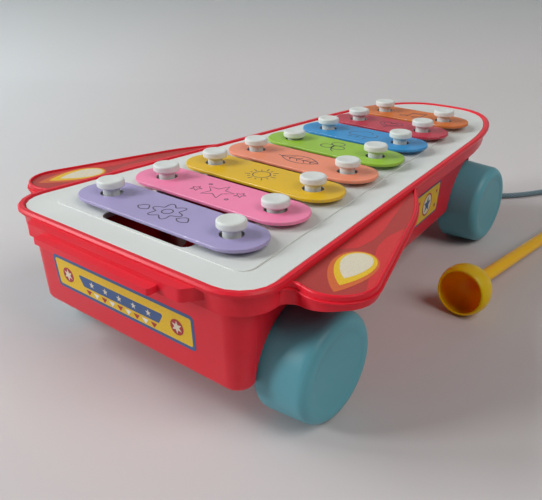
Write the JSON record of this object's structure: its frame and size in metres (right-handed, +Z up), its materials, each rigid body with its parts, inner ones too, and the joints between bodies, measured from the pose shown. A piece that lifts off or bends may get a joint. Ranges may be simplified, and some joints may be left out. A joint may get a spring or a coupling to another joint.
{
  "type": "toy metallophone on wheels",
  "caption": "Rocket-shaped pull-along toy metallophone: painted metal bars on capped pegs over a sound slot, wheeled plastic tub, pull cord, and a loose mallet.",
  "frame": {"origin": "on the floor, under the middle of the toy and its mallet taken together (cord left out)", "axes": "+Y towards the toy's nose, +X towards the side where the mallet lies, +Z up"},
  "size_m": [0.2206, 0.4398, 0.0804],
  "materials": {
    "red_plastic": "moulded, satin to glossy",
    "white_plastic": "moulded, satin",
    "teal_plastic": "moulded, satin",
    "yellow_plastic": "moulded, satin",
    "steel": "plain drawn wire",
    "cord": "plaited cord",
    "purple_paint": "enamel on sheet metal",
    "pink_paint": "enamel on sheet metal",
    "yellow_paint": "enamel on sheet metal",
    "salmon_paint": "enamel on sheet metal",
    "green_paint": "enamel on sheet metal",
    "blue_paint": "enamel on sheet metal",
    "crimson_paint": "enamel on sheet metal",
    "orange_paint": "enamel on sheet metal"
  },
  "bodies": {
    "cart": {"tub": "red_plastic", "upper_frame": "red_plastic", "deck": "white_plastic", "peg_purple_left": "white_plastic", "peg_purple_right": "white_plastic", "peg_pink_left": "white_plastic", "peg_pink_right": "white_plastic", "peg_yellow_left": "white_plastic", "peg_yellow_right": "white_plastic", "peg_salmon_left": "white_plastic", "peg_salmon_right": "white_plastic", "peg_green_left": "white_plastic", "peg_green_right": "white_plastic", "peg_blue_left": "white_plastic", "peg_blue_right": "white_plastic", "peg_crimson_left": "white_plastic", "peg_crimson_right": "white_plastic", "peg_orange_left": "white_plastic", "peg_orange_right": "white_plastic", "screw_1": "steel", "screw_2": "steel", "screw_3": "steel", "screw_4": "steel", "screw_5": "steel", "screw_6": "steel", "pull_cord": "cord", "cord_coil": "cord", "coil_tie": "cord", "inner_knot": "cord", "end_knot": "cord"},
    "tail_wheel_set": {"tail_axle": "steel", "tail_wheel_left": "teal_plastic", "tail_wheel_right": "teal_plastic"},
    "nose_wheel_set": {"nose_axle": "steel", "nose_wheel_left": "teal_plastic", "nose_wheel_right": "teal_plastic"},
    "purple_bar": {"bar_purple": "purple_paint"},
    "pink_bar": {"bar_pink": "pink_paint"},
    "yellow_bar": {"bar_yellow": "yellow_paint"},
    "salmon_bar": {"bar_salmon": "salmon_paint"},
    "green_bar": {"bar_green": "green_paint"},
    "blue_bar": {"bar_blue": "blue_paint"},
    "crimson_bar": {"bar_crimson": "crimson_paint"},
    "orange_bar": {"bar_orange": "orange_paint"},
    "mallet": {"mallet": "yellow_plastic"}
  },
  "joints": [
    {"name": "tail_axle_spin", "type": "hinge", "parent": "cart", "child": "tail_wheel_set", "pos_m": [0, -0.1062, 0.025], "axis": [1, 0, 0], "continuous": true},
    {"name": "nose_axle_spin", "type": "hinge", "parent": "cart", "child": "nose_wheel_set", "pos_m": [0, 0.1035, 0.025], "axis": [1, 0, 0], "continuous": true},
    {"name": "purple_bar_lift", "type": "slide", "parent": "cart", "child": "purple_bar", "axis": [0, 0, 1], "range_m": [0, 0.0028]},
    {"name": "pink_bar_lift", "type": "slide", "parent": "cart", "child": "pink_bar", "axis": [0, 0, 1], "range_m": [0, 0.0016]},
    {"name": "yellow_bar_lift", "type": "slide", "parent": "cart", "child": "yellow_bar", "axis": [0, 0, 1], "range_m": [0, 0.0028]},
    {"name": "salmon_bar_lift", "type": "slide", "parent": "cart", "child": "salmon_bar", "axis": [0, 0, 1], "range_m": [0, 0.0028]},
    {"name": "green_bar_lift", "type": "slide", "parent": "cart", "child": "green_bar", "axis": [0, 0, 1], "range_m": [0, 0.0008]},
    {"name": "blue_bar_lift", "type": "slide", "parent": "cart", "child": "blue_bar", "axis": [0, 0, 1], "range_m": [0, 0.0028]},
    {"name": "crimson_bar_lift", "type": "slide", "parent": "cart", "child": "crimson_bar", "axis": [0, 0, 1], "range_m": [0, 0.0028]},
    {"name": "orange_bar_lift", "type": "slide", "parent": "cart", "child": "orange_bar", "axis": [0, 0, 1], "range_m": [0, 0.0028]},
    {"name": "mallet_lift", "type": "slide", "parent": "cart", "child": "mallet", "axis": [0, 0, 1], "range_m": [0, 0.15]}
  ]
}
